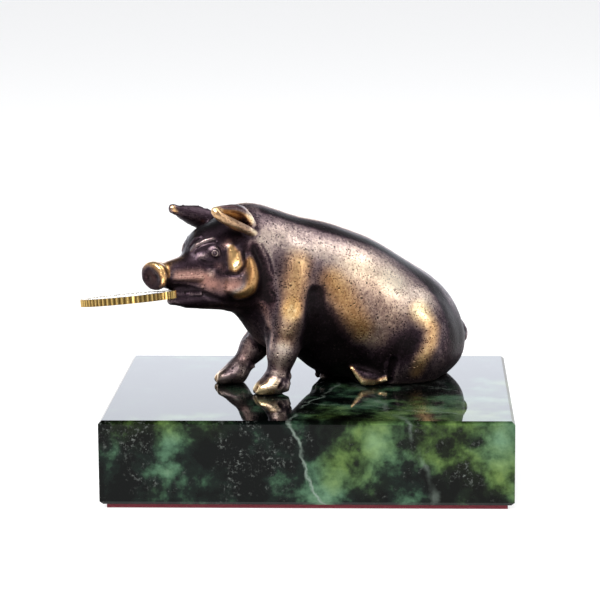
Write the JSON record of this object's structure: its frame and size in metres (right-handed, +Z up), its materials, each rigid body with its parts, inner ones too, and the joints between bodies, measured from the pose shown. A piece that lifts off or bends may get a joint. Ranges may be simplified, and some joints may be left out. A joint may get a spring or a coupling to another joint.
{
  "type": "pig figurine",
  "caption": "Cast bronze pig, sitting on a polished green stone slab with felt beneath, holding a loose coin flat in its mouth",
  "frame": {"origin": "centre of the felt's underside, where the figurine stands", "axes": "+Z up, +Y towards the back, the pig faces -X and turns 24 degrees towards -Y"},
  "size_m": [0.1056, 0.08, 0.0707],
  "materials": {
    "patinated_bronze": "cast bronze with a dark brown patina, rubbed back to golden brass on the high places",
    "coin_metal": "bright brass edge with fine reeds and a silvery face inside a raised rim",
    "green_stone": "polished dark green serpentine with pale clouds and thin veins",
    "red_felt": "thin dark red felt"
  },
  "bodies": {
    "root": {"pig": "patinated_bronze", "coin": "coin_metal", "plinth": "green_stone", "felt_pad": "red_felt"}
  },
  "joints": []
}
